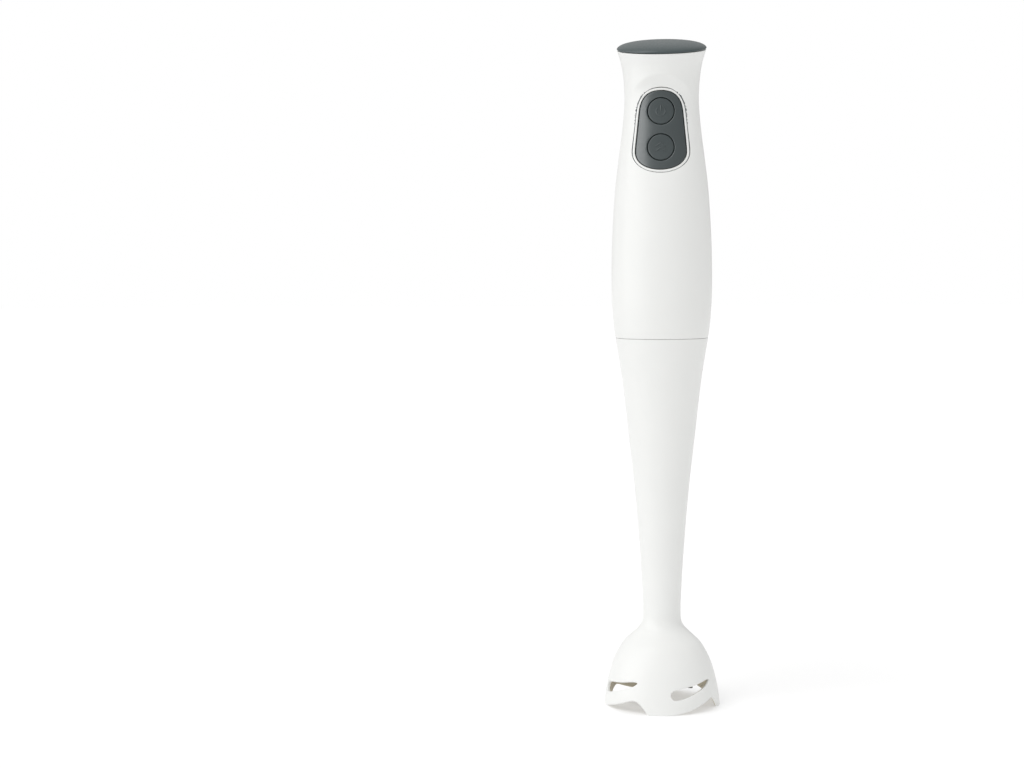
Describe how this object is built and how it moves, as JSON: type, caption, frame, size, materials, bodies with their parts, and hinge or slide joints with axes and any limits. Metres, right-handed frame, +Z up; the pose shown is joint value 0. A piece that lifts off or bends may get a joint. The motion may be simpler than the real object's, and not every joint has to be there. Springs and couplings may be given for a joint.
{
  "type": "immersion blender",
  "caption": "Hand-held stick blender: slim motor unit with push buttons and a domed cap, twist-locked onto a tapering shaft that ends in a slotted bell guard over a two-wing blade.",
  "frame": {"origin": "on the floor, on the blender's axis, at the centre of the four feet of the guard", "axes": "+Z up along the blender's axis, -Y towards the side with the buttons, +X to the right seen from that side"},
  "size_m": [0.0656, 0.0656, 0.3759],
  "materials": {
    "white_plastic": "semi-gloss moulded white plastic",
    "grey_plastic": "satin grey plastic with a fine moulded texture",
    "soft_grey": "satin soft-touch grey",
    "black_plastic": "satin black nylon",
    "natural_plastic": "unpainted natural nylon",
    "rubber": "matte black rubber",
    "stainless": "ground stainless steel",
    "plated_steel": "zinc-plated steel",
    "bronze": "sintered bronze",
    "copper": "enamelled copper",
    "ferrite": "dull dark grey ferrite",
    "carbon": "dull pressed carbon",
    "board_green": "green solder mask",
    "capacitor_yellow": "yellow potted case",
    "lead_red": "red lead sleeve"
  },
  "bodies": {
    "blending_shaft": {"shaft_housing": "white_plastic", "socket_cup": "natural_plastic", "upper_bush": "bronze", "lower_bush": "bronze", "lip_seal": "rubber", "seal_retainer": "stainless"},
    "spindle": {"drive_spindle": "stainless", "spindle_clip": "plated_steel", "driven_dog": "black_plastic", "blade": "stainless", "blade_hub": "black_plastic", "blade_nut": "stainless"},
    "seal_ring": {"spigot_seal": "rubber"},
    "motor_unit": {"front_shell": "white_plastic", "rear_shell": "white_plastic", "top_cap": "grey_plastic", "button_bezel": "white_plastic", "switch_panel": "grey_plastic", "base_collar": "white_plastic", "base_bush": "bronze", "collar_screw_1": "plated_steel", "collar_screw_2": "plated_steel", "collar_screw_3": "plated_steel", "motor_mount": "natural_plastic", "motor_can": "plated_steel", "magnet_left": "ferrite", "magnet_right": "ferrite", "lower_motor_bearing": "bronze", "brush_cap": "black_plastic", "upper_motor_bearing": "bronze", "brush_holder_left": "bronze", "brush_holder_right": "bronze", "brush_left": "carbon", "brush_right": "carbon", "motor_damper_lower": "rubber", "motor_damper_upper": "rubber", "chassis": "natural_plastic", "switch_board": "board_green", "speed_switch": "black_plastic", "turbo_switch": "black_plastic", "suppression_capacitor": "capacitor_yellow", "rectifier": "black_plastic", "choke_coil": "copper", "cord_clamp": "natural_plastic", "cord_clamp_screw_1": "plated_steel", "cord_clamp_screw_2": "plated_steel", "cord_gland": "grey_plastic", "motor_lead_left": "lead_red", "motor_lead_right": "black_plastic", "speed_spring": "stainless", "turbo_spring": "stainless"},
    "rotor": {"rotor_shaft": "stainless", "armature_core": "plated_steel", "armature_windings": "copper", "commutator": "copper", "cooling_fan": "natural_plastic", "drive_dog": "black_plastic"},
    "speed_button": {"speed_button": "soft_grey"},
    "turbo_button": {"turbo_button": "soft_grey"}
  },
  "joints": [
    {"name": "motor_unit_lift", "type": "slide", "parent": "blending_shaft", "child": "seal_ring", "axis": [0, 0, 1], "range_m": [0, 0.045]},
    {"name": "motor_unit_twist", "type": "hinge", "parent": "seal_ring", "child": "motor_unit", "pos_m": [0, 0, 0.208], "axis": [0, 0, 1], "range_deg": [0, 30]},
    {"name": "motor_spin", "type": "hinge", "parent": "motor_unit", "child": "rotor", "pos_m": [0, 0, 0.25], "axis": [0, 0, -1], "continuous": true},
    {"name": "blade_spin", "type": "hinge", "parent": "blending_shaft", "child": "spindle", "pos_m": [0, 0, 0.1], "axis": [0, 0, -1], "continuous": true},
    {"name": "speed_button_press", "type": "slide", "parent": "motor_unit", "child": "speed_button", "axis": [0, 1, 0], "range_m": [0, 0.002], "stiffness_N_per_m": 400, "springref_m": -0.002, "deforming": ["speed_spring"]},
    {"name": "turbo_button_press", "type": "slide", "parent": "motor_unit", "child": "turbo_button", "axis": [0, 1, 0], "range_m": [0, 0.002], "stiffness_N_per_m": 400, "springref_m": -0.002, "deforming": ["turbo_spring"]}
  ],
  "couplings": [
    {"joint": "blade_spin", "follows": "motor_spin", "ratio": 1}
  ]
}
